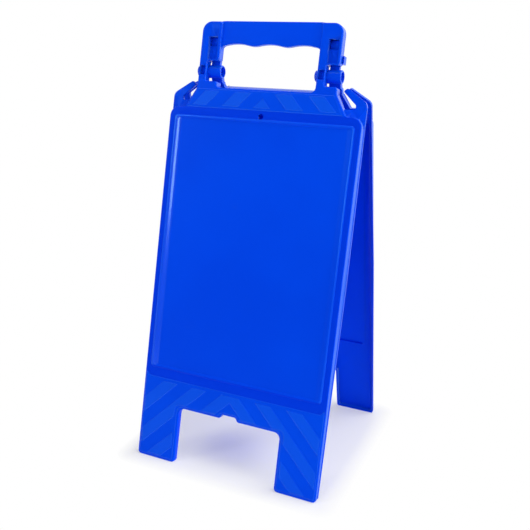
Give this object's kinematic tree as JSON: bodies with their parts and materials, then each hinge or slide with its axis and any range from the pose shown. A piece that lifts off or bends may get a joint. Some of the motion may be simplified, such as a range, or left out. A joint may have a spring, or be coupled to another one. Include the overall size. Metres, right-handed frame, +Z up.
{
  "type": "folding floor sign stand",
  "caption": "Folding A-frame floor sign stand of moulded plastic with a carry handle, label panels, chain hooks and a hinge with locking arms.",
  "frame": {"origin": "on the floor, midway between the four feet, under the hinge axis", "axes": "+X along the hinge axis to the right as seen from the front panel, +Y from the front panel to the rear panel, +Z up"},
  "size_m": [0.2986, 0.288, 0.6358],
  "materials": {
    "panel_plastic": "satin to glossy moulded royal blue",
    "pin_plastic": "satin moulded royal blue"
  },
  "bodies": {
    "front": {"front_panel": "panel_plastic", "hinge_pin_left": "pin_plastic", "hinge_pin_right": "pin_plastic"},
    "rear": {"rear_panel": "panel_plastic"}
  },
  "joints": [
    {"name": "fold", "type": "hinge", "parent": "front", "child": "rear", "pos_m": [0, 0, 0.56602], "axis": [-1, 0, 0], "range_deg": [0, 26.9]}
  ]
}
